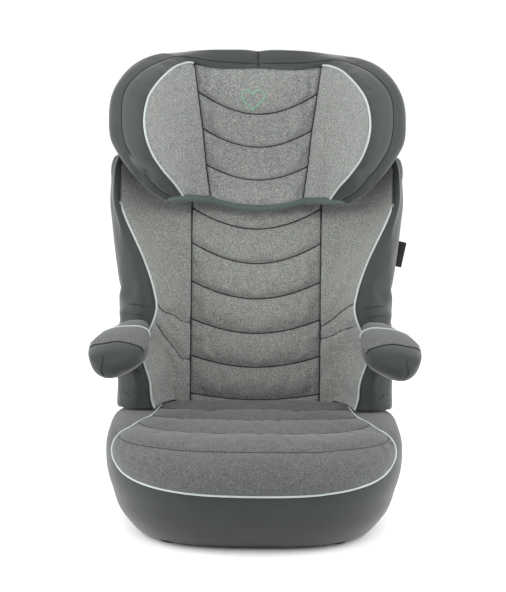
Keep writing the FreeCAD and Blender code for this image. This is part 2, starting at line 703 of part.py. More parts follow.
# --- every sub-part by its name -----------------------------------------------------------------
def build():
    seat_cover, base_skirt = seat_covers()
    parts = {
        "base_shell": base_shell(),
        "hinge_bracket": hinge_bracket(),
        "base_feet": base_feet(),
        "hinge_rod": hinge_rod(),
        "hinge_rod_caps": hinge_rod_caps(),
        "seat_foam": seat_foam(),
        "seat_cover": seat_cover,
        "base_skirt": base_skirt,
        "backrest_shell": backrest_shell(),
    }
    upright = {
        "rail_screws": rail_screws(),
        "backrest_foam": backrest_foam(),
        "backrest_cover": backrest_cover(),
        "side_label": side_label(),
        "headrest_shell": headrest_shell(),
        "head_foam": head_foam(),
        "head_cover": head_cover(),
        "head_top_cover": head_top_cover(),
        "headrest_rear_cover": headrest_rear_cover(),
        "headrest_stem": headrest_stem(),
        "stem_screws": stem_screws(),
        "guide_screws": guide_screws(),
        "latch_housing": latch_housing(),
        "latch_springs": latch_springs(),
        "latch_cam": latch_cam(),
        "pull_strap": pull_strap(),
        "release_handle": release_handle(),
    }
    paired = {
        "slide_rail": slide_rail(),
        "head_wing_pad": head_wing_pad(),
        "head_side_cover": head_side_cover(),
        "belt_guide": belt_guide(),
        "latch_bolt": latch_bolt(),
    }
    for name, shape in paired.items():
        upright[name + "_right"] = shape
        upright[name + "_left"] = mirror(shape)
    for name, shape in upright.items():
        parts[name] = lean(shape)
    for name, shape in armrest_sides().items():
        parts[name + "_right"] = shape
        parts[name + "_left"] = mirror(shape)
    return parts


os.makedirs("parts", exist_ok=True)
for part_name, part_shape in build().items():
    part_shape.exportStep("parts/" + part_name + ".step")
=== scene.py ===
"""High-back booster seat: quilted covers, piping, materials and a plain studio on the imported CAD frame.

Shapes are drawn in millimetres. The base is in the row frame; the backrest and the headrest are drawn
upright and leaned back about the hinge, as in the CAD. Every shape is given for the right side (+X).
"""
import bmesh
import bpy
import json
from math import cos, pi, radians, sin
import numpy as np
from mathutils import Matrix, Vector
from mathutils.bvhtree import BVHTree


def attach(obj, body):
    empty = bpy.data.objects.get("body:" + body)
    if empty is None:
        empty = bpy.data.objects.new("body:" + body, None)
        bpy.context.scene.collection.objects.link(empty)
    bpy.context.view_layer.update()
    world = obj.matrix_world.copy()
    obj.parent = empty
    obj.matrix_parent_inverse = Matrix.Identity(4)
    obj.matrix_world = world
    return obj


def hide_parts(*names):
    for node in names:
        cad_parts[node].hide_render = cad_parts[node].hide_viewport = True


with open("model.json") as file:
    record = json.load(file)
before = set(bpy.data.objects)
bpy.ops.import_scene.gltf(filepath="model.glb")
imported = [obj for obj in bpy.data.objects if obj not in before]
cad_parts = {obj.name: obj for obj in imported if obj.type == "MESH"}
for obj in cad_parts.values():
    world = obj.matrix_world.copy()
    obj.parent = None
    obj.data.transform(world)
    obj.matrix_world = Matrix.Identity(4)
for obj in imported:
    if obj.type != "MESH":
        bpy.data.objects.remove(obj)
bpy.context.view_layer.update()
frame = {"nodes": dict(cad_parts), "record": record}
scene = bpy.context.scene

MM = 0.001
SIDES = (("right", 1), ("left", -1))
LEAN = radians(10)        # backrest angle behind upright
HINGE_Y, HINGE_Z = 130.0, 70.0
BASE_CLEAR = 152.6        # world height of the backrest's lower edge, just above the base
BEHIND_BASE = 86.5        # world y just behind the seat panel's rear edge
HEM_DROP = 14.0           # the backrest's lower edge hangs this much lower behind the base
COVER_GAP = 0.4           # seat panel above the base cover at its sewn edges
SEAT_STUFFING = 2.2       # and how much further above it between them
FRONT_OF_ALL = -250.0     # y of a plane in front of the seat, from which lines are pressed on
CAMERA_PLACE = (0.0067, -2.5, 0.7753)
CAMERA_ANGLES = (10.10, 0.238, 0.521)     # degrees: downwards, to the left and about the view
LENS, SENSOR = 105.6, 36.0
# Softboxes: name, place, point aimed at, size and power.
LIGHTS = [
    ("left_softbox", (-1.7, -0.5, 1.0), (0, 0, 0.35), (1.2, 1.6), 40),
    ("right_softbox", (1.7, -0.4, 1.0), (0, 0, 0.35), (1.2, 1.6), 36),
    ("front_softbox", (0, -1.9, 2.0), (0, 0, 0.3), (1.6, 1.0), 20),
]

# --- shape tables --------------------------------------------------
# Base cover: height, half-width, front y, rear y.
BASE = [
    (6, 178, -176, 82), (20, 188, -192, 85), (40, 200, -208, 88), (65, 207, -221, 88),
    (90, 214, -228, 88), (115, 216, -226, 88), (133, 214, -216, 88), (143, 208, -200, 87),
    (149, 195, -182, 84), (150, 176, -162, 78), (148, 140, -120, 60), (147, 70, -60, 30),
]
FRONT_POWER, REAR_POWER = 3.0, 6.0

# Seat panel: centre point, point on the side piping, sewn line here (1) or not (0), puff of the
# channel that follows.
SEAT = [
    ((0, 88, 149.0), (140, 88, 149.5), 1, 3.0), ((0, 28, 149.5), (144, 52, 149.5), 1, 4.0),
    ((0, -33, 150.5), (151, 6, 149.0), 1, 6.0), ((0, -117, 152.0), (168, -43, 146.5), 1, 6.0),
    ((0, -168, 152.5), (179, -80, 141.5), 0, 5.5), ((0, -202, 148.5), (187, -101, 134.3), 1, 4.5),
    ((0, -222, 132.0), (190, -124, 126.0), 0, 3.5), ((0, -227, 114.0), (190, -140, 120.0), 0, 3.0),
    ((0, -227, 94.0), (186, -154, 114.0), 1, 0.0),
]

# Backrest wing: height, piping x, piping y, outermost x.
WING = [
    (138, 149, 16, 208), (148, 152.5, 15, 207), (178, 156.5, 13, 206), (200, 164, 12, 206),
    (212, 168, 12, 206), (246, 161, 10, 206), (262, 153, 10, 205), (285, 147, 10, 204),
    (310, 151, 11, 204), (355, 166, 15, 210), (386, 180, 19, 215), (419, 196, 31, 219),
    (440, 204, 38, 222), (475, 207, 44, 222), (502, 205, 47, 221), (514, 201, 49, 217),
]
PIPING_TOP = 444.0        # the wing's piping ends here, behind the headrest
PAD_HALF = 99.0           # half-width of the centre panel
PAD_FRONT = 84.0
PAD_REAR = 104.0          # the pad stays in front of the latch housing, which slides behind it
RECESS_FRONT = 93.0       # thinner behind the headrest
RECESS_FROM, RECESS_TO = 425.0, 450.0
# Sewn darts of each wing and lines of painted crease shade on its dark side: x and height, upright.
DARTS = {
    "left": [[(148, 291), (140, 279), (126, 274), (110, 263), (101, 262)],
             [(150, 262), (139, 242), (122, 220), (113, 207), (101, 205)]],
    "right": [[(148, 294), (137, 286), (118, 269), (101, 257)],
              [(148, 258), (132, 252), (116, 243), (101, 239)]],
}
CREASE_SHADE_LINES = [
    [(197, 290), (178, 289), (158, 285)], [(197, 276), (182, 275), (161, 272)],
    [(187, 193), (178, 191), (168, 187)], [(198, 160), (191, 155), (185, 150)],
]
# Slack ridges of each dark side: centre, direction, width, length and height.
FOLDS = [
    ((204, 40, 300), (0.0, 1.0, -0.35), 9, 46, 2.2), ((204, 30, 276), (0.0, 1.0, 0.25), 8, 40, 1.8),
    ((204, 60, 212), (0.0, 1.0, -0.2), 10, 46, 1.4),
]
# Sewn channels of the backrest: height at the centre, rise towards the side seams.
BACK_LINES = [(132, 0), (144, 10), (194, 18), (246, 22), (299, 27), (353, 32), (406, 32), (459, 30),
              (512, 24), (560, 0)]

# Headrest rim, from the lower inner end round to the centre of the top. Piping, outer seam,
# silhouette, rear shoulder and rear hem.
RIM_PIPE = [
    (109, 42, 449), (123, 20, 469), (138, -2, 486), (152, -20, 506), (161, -35, 528), (165, -42, 550),
    (164, -42, 572), (159, -35, 594), (150, -20, 612), (139, -2, 628), (126, 20, 643), (112, 40, 652),
    (98, 54, 655), (60, 57, 648), (0, 57, 651),
]
RIM_SEAM = [
    (126, 42, 450), (150, 28, 465), (169, 14, 486), (182, 2, 503), (194, -9, 525), (199, -15, 548),
    (200, -15, 571), (198, -9, 598), (188, 0, 619), (168, 16, 640), (144, 33, 654), (123, 46, 662),
    (105, 52, 662), (60, 60, 658), (0, 62, 656),
]
RIM_OUT = [
    (140, 53, 449), (157, 46, 460), (170, 39, 474), (187, 31, 493), (203, 23, 514), (214, 17, 533),
    (217, 15, 560), (216, 17, 588), (210, 23, 611), (199, 32, 632), (181, 45, 651), (156, 58, 662),
    (121, 66, 670), (70, 70, 674), (0, 72, 675.5),
]
RIM_REAR = [
    (128, 66, 452), (146, 62, 462), (160, 58, 476), (177, 54, 495), (193, 52, 516), (205, 52, 536),
    (210, 54, 560), (209, 57, 588), (203, 61, 611), (193, 66, 631), (175, 74, 650), (150, 82, 662),
    (118, 88, 668), (70, 92, 671), (0, 93, 672),
]
RIM_HEM = [
    (100, 84, 456), (112, 84, 466), (122, 84, 480), (134, 84, 498), (146, 84, 518), (154, 85, 538),
    (158, 86, 560), (157, 88, 585), (152, 90, 606), (143, 92, 624), (130, 94, 640), (114, 95, 648),
    (92, 96, 652), (60, 96, 655), (0, 96, 656),
]
HEAD_FRONT = 60.0
EMBLEM = (-7, 603)        # centre of the embroidered heart
TILT = 0.014              # the cover's slope from left to right
HEAD_SEAM_Z = (441, 450, 500, 557, 612, 655)      # centre pad's side seam: heights and x there
HEAD_SEAM_X = (70, 70, 77, 83, 91, 97)
HEAD_LINES = [(440, 10), (480, 22), (530, 27), (580, 33), (652, 3)]
HEM = [(0, 60, 436), (33, 60, 439.5), (60, 60, 446), (71, 60, 449), (86, 54, 449), (101, 45, 449.5),
       (112, 38, 448), (126, 40, 447), (139, 50, 448)]
STRAP_HALF, STRAP_LOW, STRAP_HIGH = 8, 411, 621
TAG_LOW, TAG_HIGH, TAG_REACH = (206.0, 352.0), (214.0, 390.0), 15

# Armrest in the row frame: y, inner x, outer x, lowest z, highest z; and its front outline.
ARM = [
    (58, 160, 206, 226, 282), (36, 158, 212, 221, 285), (14, 156, 224, 215, 284), (-10, 155, 235, 211, 281),
    (-32, 155, 241, 215, 277), (-50, 156, 241, 218, 272), (-66, 160, 239, 221, 267),
    (-77, 167, 235, 225, 261), (-84, 178, 227, 230, 252),
]
ARM_OUTLINE = [
    (242, 266), (235, 276), (218, 284), (190, 288), (168, 287), (157, 281), (155, 268),
    (157, 249), (167, 234), (184, 220), (198, 211), (220, 211), (231, 223), (239, 246),
]


# --- small maths --------------------------------------------------
def lean(points):
    """Millimetres on the upright back to millimetres in the row frame."""
    p = np.array(points, float)
    y, z = p[..., 1] - HINGE_Y, p[..., 2] - HINGE_Z
    p[..., 1] = HINGE_Y + y * cos(LEAN) + z * sin(LEAN)
    p[..., 2] = HINGE_Z - y * sin(LEAN) + z * cos(LEAN)
    return p


def spline(knots, values, at):
    """Smooth values through points at rising knots."""
    k, v, at = np.asarray(knots, float), np.asarray(values, float), np.asarray(at, float)
    slope = np.gradient(v, k, axis=0)
    i = np.clip(np.searchsorted(k, at, side="right") - 1, 0, len(k) - 2)
    h = k[i + 1] - k[i]
    t = (at - k[i]) / h
    shape = t.shape + (1,) * (v.ndim - 1)
    t, h = t.reshape(shape), h.reshape(shape)
    return ((2 * t**3 - 3 * t**2 + 1) * v[i] + (t**3 - 2 * t**2 + t) * h * slope[i]
            + (3 * t**2 - 2 * t**3) * v[i + 1] + (t**3 - t**2) * h * slope[i + 1])


def lengths(points):
    steps = np.linalg.norm(np.diff(points, axis=0), axis=-1)
    return np.concatenate([[0.0], np.cumsum(steps)])


def evenly(line, count):
    """Evenly spaced points along a line of close points."""
    measure = lengths(line)
    at = np.linspace(0, measure[-1], count)
    return np.stack([np.interp(at, measure, line[:, k]) for k in range(line.shape[1])], axis=1)


def along(points, count):
    """Evenly spaced points on a smooth curve through the given ones."""
    p = np.asarray(points, float)
    rough = lengths(p)
    return evenly(spline(rough, p, np.linspace(0, rough[-1], 14 * len(p))), count)


def mirrored(points):
    return np.asarray(points, float) * (-1, 1, 1)


def held_edges(grid, ends=False):
    """Marks the held points of a panel: both side edges and, if asked, the first and last row."""
    pins = np.zeros(grid.shape[:2], bool)
    pins[:, 0] = pins[:, -1] = True
    if ends:
        pins[0] = pins[-1] = True
    return pins


def normals(grid):
    across = np.gradient(grid, axis=1)
    up = np.gradient(grid, axis=0)
    n = np.cross(across, up)
    return n / np.maximum(np.linalg.norm(n, axis=-1, keepdims=True), 1e-9)


def outward(grid, hint):
    """Unit normals on the side that hint points to."""
    n = normals(grid)
    return n * np.where(np.sum(n * np.asarray(hint, float)) < 0, -1, 1)


def waver(points, size, amount, seed):
    """Slow uneven drift of a hand-sewn surface: a few seeded waves of about that size."""
    rng = np.random.default_rng(seed)
    total = np.zeros(points.shape[:-1])
    for _ in range(5):
        direction = rng.normal(size=3)
        direction *= 2 * pi / (size * rng.uniform(0.7, 1.6) * np.linalg.norm(direction))
        total += np.sin(points @ direction + rng.uniform(0, 2 * pi))
    return amount * total[..., None] / 5


# --- meshes --------------------------------------------------
def add_object(name, data):
    obj = bpy.data.objects.new(name, data)
    scene.collection.objects.link(obj)
    return obj


def make_mesh(name, points, faces, material, body):
    mesh = bpy.data.meshes.new(name)
    mesh.from_pydata([tuple(p) for p in np.asarray(points, float) * MM], [], faces)
    mesh.validate()
    mesh.polygons.foreach_set("use_smooth", [True] * len(mesh.polygons))
    obj = add_object(name, mesh)
    if material:
        mesh.materials.append(bpy.data.materials[material])
    if body:
        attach(obj, body)
    return obj


def quads(rows, columns, start=0, flip=False):
    faces = []
    for i in range(rows - 1):
        for j in range(columns - 1):
            a = start + i * columns + j
            face = (a, a + 1, a + columns + 1, a + columns)
            faces.append(face[::-1] if flip else face)
    return faces


def border(rows, columns):
    ring = list(range(columns)) + [i * columns + columns - 1 for i in range(1, rows)]
    ring += [(rows - 1) * columns + j for j in range(columns - 2, -1, -1)]
    return ring + [i * columns for i in range(rows - 2, 0, -1)]


def needs_flip(grid, hint):
    return np.sum(normals(grid) * np.asarray(hint, float)) < 0


def soften(obj, levels=1):
    modifier = obj.modifiers.new("smooth", "SUBSURF")
    modifier.levels = modifier.render_levels = levels
    return obj


def closed_pad(name, front, back, hint, material, body, sewn=None):
    """Padded piece between a face and a lining, closed all round, pulled in sharply along its sewn points."""
    rows, columns = front.shape[:2]
    count = rows * columns
    flip = needs_flip(front, hint)
    faces = quads(rows, columns, 0, flip) + quads(rows, columns, count, not flip)
    ring = border(rows, columns)
    edges = list(zip(ring, ring[1:] + ring[:1]))
    for a, b in edges:
        face = (b, a, a + count, b + count)
        faces.append(face[::-1] if flip else face)
    points = np.concatenate([front.reshape(-1, 3), back.reshape(-1, 3)])
    obj = soften(make_mesh(name, points, faces, material, body))
    edged = {frozenset(pair) for pair in edges}
    line = set() if sewn is None else {int(i) for i in np.flatnonzero(sewn)}
    sharp = [frozenset(e.vertices) in edged or (e.vertices[0] in line and e.vertices[1] in line)
             for e in obj.data.edges]
    crease = obj.data.attributes.new("crease_edge", "FLOAT", "EDGE")
    crease.data.foreach_set("value", [0.85 * hard for hard in sharp])
    return obj


def tube(name, path, radius, material, body, closed=False, sides=8, flat=1.0):
    """Round or flattened cord along a path of points; radius is one value or one for each point."""
    p = np.asarray(path, float)
    radius = np.broadcast_to(radius, len(p))
    ahead = np.roll(p, -1, axis=0) - np.roll(p, 1, axis=0)
    if not closed:
        ahead[0], ahead[-1] = p[1] - p[0], p[-1] - p[-2]
    ahead /= np.linalg.norm(ahead, axis=1, keepdims=True)
    side = np.cross(ahead, (0.0, 0.0, 1.0))
    side /= np.maximum(np.linalg.norm(side, axis=1, keepdims=True), 1e-6)
    up = np.cross(side, ahead)
    points, faces = [], []
    for i in range(len(p)):
        for k in range(sides):
            a = 2 * pi * k / sides
            points.append(p[i] + radius[i] * (flat * cos(a) * side[i] + sin(a) * up[i]))
    rings = len(p) if closed else len(p) - 1
    for i in range(rings):
        for k in range(sides):
            a, b = i * sides + k, i * sides + (k + 1) % sides
            c, d = ((i + 1) % len(p)) * sides + (k + 1) % sides, ((i + 1) % len(p)) * sides + k
            faces.append((a, b, c, d))
    if not closed:
        faces += [tuple(range(sides))[::-1], tuple((len(p) - 1) * sides + k for k in range(sides))]
    return make_mesh(name, points, faces, material, body)


# --- panels and their swelling --------------------------------------------------
PANELS = {}


def panel(name, grid, pins, hint, material, body, thick=8.0, ease=0.02, cap=6.0, pressure=3.0, fill=0.6,
          sewn=None):
    PANELS[name] = dict(grid=grid, pins=pins, hint=hint, material=material, body=body, thick=thick,
                        ease=ease, cap=cap, pressure=pressure, fill=fill, sewn=sewn)


def sewn_rows(pins):
    """Marks the rows that are held right across: the sewn lines of a quilted panel."""
    mark = np.zeros(pins.shape, bool)
    mark[pins[:, 3:-3].all(axis=1)] = True
    return mark


def swell_all(frames=16):
    """Cloth simulation of every panel: seams are held and the stuffing pushes between them."""
    cloths = {}
    for name, p in PANELS.items():
        rows, columns = p["grid"].shape[:2]
        faces = quads(rows, columns, 0, needs_flip(p["grid"], p["hint"]))
        obj = make_mesh("sim_" + name, p["grid"].reshape(-1, 3), faces, None, None)
        held = obj.vertex_groups.new(name="seams")
        held.add([int(i) for i in np.flatnonzero(p["pins"].reshape(-1))], 1.0, "REPLACE")
        cloth = obj.modifiers.new("swell", "CLOTH")
        s = cloth.settings
        s.vertex_group_mass = "seams"
        s.quality, s.mass, s.air_damping = 5, 0.05, 3.0
        s.tension_stiffness = s.compression_stiffness = 12.0
        s.shear_stiffness, s.bending_stiffness = 4.0, 0.6
        s.use_pressure = True
        s.uniform_pressure_force = p["pressure"]
        s.shrink_min = -p["ease"]
        s.effector_weights.gravity = 0.0
        cloth.point_cache.frame_start, cloth.point_cache.frame_end = 1, frames
        cloths[name] = obj
    for step in range(1, frames + 1):
        scene.frame_set(step)
    graph = bpy.context.evaluated_depsgraph_get()
    for name, obj in cloths.items():
        p = PANELS[name]
        moved = np.empty(len(obj.data.vertices) * 3)
        obj.evaluated_get(graph).data.vertices.foreach_get("co", moved)
        shift = moved.reshape(p["grid"].shape) / MM - p["grid"]
        size = np.linalg.norm(shift, axis=-1, keepdims=True)
        p["grid"] = p["grid"] + shift * np.minimum(1.0, p["cap"] / np.maximum(size, 1e-6))
    for obj in cloths.values():
        bpy.data.objects.remove(obj)
    scene.frame_set(1)


def finish_panels():
    made = {}
    for name, p in PANELS.items():
        back = p["rest"] - p["thick"] * outward(p["rest"], p["hint"])
        made[name] = closed_pad(name, p["grid"], back, p["hint"], p["material"], p["body"],
                                p["sewn"])
    return made


def channels(v, lines, power=2.7):
    """0 at each sewn line and 1 midway between two, for rows at v; lines are rising."""
    lines = np.asarray(lines, float)
    i = np.clip(np.searchsorted(lines, v, side="right") - 1, 0, len(lines) - 2)
    t = np.clip((v - lines[i]) / (lines[i + 1] - lines[i]), 0, 1)
    return 1 - np.abs(2 * t - 1) ** power


def rows_between(lines, per_row):
    """Row positions that land on every sewn line."""
    parts = []
    for a, b in zip(lines, lines[1:]):
        count = max(3, int(round((b - a) / per_row)))
        parts.append(np.linspace(a, b, count, endpoint=False))
    return np.concatenate(parts + [[lines[-1]]])


def srgb(r, g, b):
    c = np.array([r, g, b], float) / 255
    return tuple(np.where(c <= 0.04045, c / 12.92, ((c + 0.055) / 1.055) ** 2.4)) + (1.0,)


def shade_of(colour, factor):
    return tuple(c * factor for c in colour[:3]) + (1,)


class Nodes:
    """Short-hand for building a node tree."""

    def __init__(self, name, slot):
        material = bpy.data.materials.new(name)
        material.use_nodes = True
        self.tree = material.node_tree
        self.shader = self.tree.nodes["Principled BSDF"]
        self.where = self.add("ShaderNodeTexCoord").outputs["Object"]

    def add(self, kind, **settings):
        node = self.tree.nodes.new(kind)
        for key, value in settings.items():
            if key in node.inputs:
                node.inputs[key].default_value = value
            else:
                setattr(node, key, value)
        return node

    def link(self, a, b):
        self.tree.links.new(a, b)

    def noise(self, scale, detail=3.0, rough=0.6):
        node = self.add("ShaderNodeTexNoise", Scale=scale, Detail=detail, Roughness=rough)
        self.link(self.where, node.inputs["Vector"])
        return node.outputs["Fac"]

    def cells(self, scale):
        node = self.add("ShaderNodeTexVoronoi", feature="F1", Scale=scale)
        self.link(self.where, node.inputs["Vector"])
        return node.outputs["Distance"]

    def weave(self, pitch):
        """Over-and-under threads: two crossed bands about pitch metres apart."""
        bands = []
        for axis in ("X", "Z"):
            wave = self.add("ShaderNodeTexWave", wave_type="BANDS", bands_direction=axis,
                            Scale=0.314 / pitch, Distortion=1.2, Detail=1.0)
            wave.inputs["Detail Scale"].default_value = 2.0
            self.link(self.where, wave.inputs["Vector"])
            bands.append(wave.outputs["Fac"])
        return self.math("MULTIPLY", bands[0], bands[1])

    def math(self, operation, a, b):
        node = self.add("ShaderNodeMath", operation=operation)
        for socket, value in zip(node.inputs, (a, b)):
            if isinstance(value, (int, float)):
                socket.default_value = value
            else:
                self.link(value, socket)
        return node.outputs[0]

    def ramp(self, fac, stops):
        node = self.add("ShaderNodeValToRGB")
        elements = node.color_ramp.elements
        while len(elements) < len(stops):
            elements.new(0.5)
        for element, (place, colour) in zip(elements, stops):
            element.position, element.color = place, colour
        self.link(fac, node.inputs["Fac"])
        return node.outputs["Color"]

    def mix(self, fac, a, b, blend="MIX"):
        node = self.add("ShaderNodeMix", data_type="RGBA", blend_type=blend)
        for socket, value in ((node.inputs[0], fac), (node.inputs[6], a), (node.inputs[7], b)):
            if isinstance(value, (int, float, tuple)):
                socket.default_value = value
            else:
                self.link(value, socket)
        return node.outputs[2]

    def bump(self, height, distance, strength=1.0, under=None):
        node = self.add("ShaderNodeBump", Strength=strength, Distance=distance)
        self.link(height, node.inputs["Height"])
        if under:
            self.link(under, node.inputs["Normal"])
        return node.outputs["Normal"]

    def finish(self, colour, roughness, normal, sheen=0.0, sheen_rough=0.5, metal=0.0, specular=0.5):
        s = self.shader
        for name, value in (("Base Color", colour), ("Roughness", roughness), ("Normal", normal)):
            if isinstance(value, (int, float, tuple)):
                s.inputs[name].default_value = value
            elif value:
                self.link(value, s.inputs[name])
        s.inputs["Metallic"].default_value = metal
        s.inputs["Specular IOR Level"].default_value = specular
        s.inputs["Sheen Weight"].default_value = sheen
        s.inputs["Sheen Roughness"].default_value = sheen_rough


def melange(name, dark, mid, light):
    """Mottled wool-look knit: fine flecks of dark and light yarn over a woven relief."""
    m = Nodes(name, "melange_fabric")
    flecks = m.noise(760.0, 2.0, 0.7)
    base = m.ramp(flecks, [(0.34, dark), (0.50, mid), (0.66, light)])
    patches = m.ramp(m.noise(95.0, 3.0), [(0.3, (0.94, 0.94, 0.94, 1)), (0.7, (1.05, 1.05, 1.05, 1))])
    colour = m.mix(1.0, base, patches, "MULTIPLY")
    relief = m.bump(m.weave(0.0016), 0.00035, 0.5)
    fuzz = m.bump(m.noise(900.0, 2.0), 0.0004, 0.55, relief)
    m.finish(colour, 0.95, fuzz, sheen=0.12, sheen_rough=0.6, specular=0.15)


def knit(name, colour, slot="dark_fabric", sheen=0.25):
    """Smooth fine knit with a faint grain and soft sheen."""
    m = Nodes(name, slot)
    shade = m.ramp(m.noise(24.0, 4.0), [(0.3, shade_of(colour, 0.92)), (0.7, shade_of(colour, 1.08))])
    grain = m.ramp(m.noise(1100.0, 2.0), [(0.3, (0.9, 0.9, 0.9, 1)), (0.7, (1.1, 1.1, 1.1, 1))])
    tone = m.mix(1.0, shade, grain, "MULTIPLY")
    relief = m.bump(m.weave(0.0009), 0.0002, 0.35)
    soft = m.bump(m.noise(45.0, 3.0), 0.0012, 0.25, relief)
    m.finish(tone, 0.78, soft, sheen=sheen, sheen_rough=0.45, specular=0.25)


def moulded(name, colour, slot, roughness=0.5):
    """Textured injection-moulded plastic: fine spark-eroded grain, slightly worn."""
    m = Nodes(name, slot)
    wear = m.noise(14.0, 5.0)
    tone = m.ramp(wear, [(0.35, shade_of(colour, 0.88)), (0.7, shade_of(colour, 1.12))])
    rough = m.math("MULTIPLY_ADD", wear, 0.18)
    rough.node.inputs[2].default_value = roughness - 0.09
    grain = m.bump(m.cells(1500.0), 0.00012, 0.6)
    m.finish(tone, rough, grain)


def steel(name, colour):
    """Zinc-plated steel with faint brushing and blotches."""
    m = Nodes(name, "zinc_steel")
    blotch = m.noise(60.0, 4.0)
    tone = m.ramp(blotch, [(0.3, shade_of(colour, 0.85)), (0.7, colour)])
    rough = m.math("MULTIPLY_ADD", blotch, 0.25)
    rough.node.inputs[2].default_value = 0.22
    m.finish(tone, rough, m.bump(m.noise(700.0, 2.0), 0.00005, 0.4), metal=1.0)


def make_materials():
    # Headrest melange: the backrest's fabric in a slightly lighter copy, painted light for the better-lit
    # headrest.
    melange("heather_lit_head", srgb(76, 79, 77), srgb(112, 114, 112), srgb(151, 153, 149))
    melange("heather_mid", srgb(77, 80, 78), srgb(112, 114, 111), srgb(147, 149, 145))
    # Seat and armrest-top melange: the same fabric in a darker copy, painted shade of the seat under the
    # backrest and armrests.
    melange("heather_shaded_seat", srgb(50, 53, 52), srgb(74, 76, 75), srgb(100, 102, 99))
    knit("dark_knit", srgb(46, 50, 48))
    # Headrest's dark knit: a slightly lighter copy of the dark knit, painted light.
    knit("dark_knit_lit_head", srgb(48, 52, 50))
    # Base and armrest dark knit: a darker copy of the same knit, painted shade of the low, undercut parts.
    knit("dark_knit_shaded_low", srgb(41, 45, 43))
    knit("piping_cord", srgb(158, 166, 162), sheen=0.1)
    knit("binding_tape", srgb(66, 76, 75), sheen=0.15)
    # Dark thread for the sewn lines. Where drawn thick on the quilting rows and laid in the side creases, its
    # darkness is painted groove and crease shade.
    knit("thread_and_groove_shade", srgb(33, 36, 35), sheen=0.0)
    knit("mint_thread", srgb(104, 164, 136), sheen=0.1)
    knit("label_tape", srgb(22, 23, 23), slot="label_fabric", sheen=0.1)
    moulded("shell_moulding", srgb(58, 61, 60), "shell_plastic", 0.52)
    moulded("black_moulding", srgb(34, 35, 36), "black_plastic", 0.45)
    moulded("guide_moulding", srgb(84, 88, 86), "guide_plastic", 0.42)
    moulded("rubber", srgb(28, 28, 29), "foot_rubber", 0.75)
    steel("zinc", srgb(176, 180, 184))
    knit("webbing", srgb(60, 63, 62), sheen=0.1)


MATERIAL_OF_SLOT = {
    "shell_plastic": "shell_moulding", "black_plastic": "black_moulding", "guide_plastic": "guide_moulding",
    "zinc_steel": "zinc", "foot_rubber": "rubber", "label_fabric": "label_tape", "dark_fabric": "dark_knit",
    "melange_fabric": "heather_mid", "foam": "dark_knit",
}


def dress_cad():
    """Each CAD node takes the detailed material of its record slot."""
    for part in frame["record"]["subparts"]:
        node = frame["nodes"][part["node"]]
        node.data.materials.clear()
        node.data.materials.append(bpy.data.materials[MATERIAL_OF_SLOT[part["material_slot"]]])


# --- base --------------------------------------------------
def plan_outline(half, front, rear, count):
    """Evenly spaced plan outline, from the middle of the rear edge round to it again."""
    angle = np.linspace(pi / 2, pi / 2 + 2 * pi, 721)
    c, s = np.cos(angle), np.sin(angle)
    power = np.where(s < 0, 2 / FRONT_POWER, 2 / REAR_POWER)
    x = half * np.sign(c) * np.abs(c) ** power
    y = np.where(s < 0, -front, rear) * np.sign(s) * np.abs(s) ** power
    return evenly(np.stack([x, y], axis=1), count)


def base_cover():
    """Dark cover of the base: turned-in hem, full sides and rounded shoulders."""
    table = np.array(BASE, float)
    knots = lengths(np.stack([table[:, 0], table[:, 1] * 0.7], axis=1))
    rows = spline(knots, table, rows_between(list(knots), 6.0))
    hem = [(12, 168, -166, 74), (7.5, 171, -169, 76), (5.2, 174.5, -172.5, 79)]
    rows = np.concatenate([np.array(hem, float), rows])
    columns = 181
    grid = np.array([np.column_stack([plan_outline(half, front, rear, columns), np.full(columns, z)])
                     for z, half, front, rear in rows])
    centre = np.array([0.0, 0.0, 80.0])
    away = grid - centre
    away /= np.linalg.norm(away, axis=-1, keepdims=True)
    grid += waver(grid, 160, 0.9, 3) * away
    faces = quads(len(rows), columns, 0, needs_flip(grid, away))
    obj = soften(make_mesh("base_cover", grid.reshape(-1, 3), faces, "dark_knit_shaded_low", "base"))
    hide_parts("base_skirt", "seat_foam")
    return BVHTree.FromPolygons([Vector(p) for p in grid.reshape(-1, 3)], faces)


def settle(grid, tree, gap):
    """Grid lifted so that no point is nearer than gap to the surface under it."""
    lifted = grid.copy()
    for at in np.ndindex(grid.shape[:2]):
        place, normal, _, _ = tree.find_nearest(Vector(grid[at]))
        height = (Vector(grid[at]) - place).dot(normal)
        if height < gap[at]:
            lifted[at] = np.array(place + normal * gap[at])
    return lifted


def on_surface(points, tree, gap):
    """Points moved onto a surface, or gap above it."""
    moved = []
    for point in points:
        place, normal, _, _ = tree.find_nearest(Vector(point))
        moved.append(np.array(place + normal * gap))
    return np.array(moved)


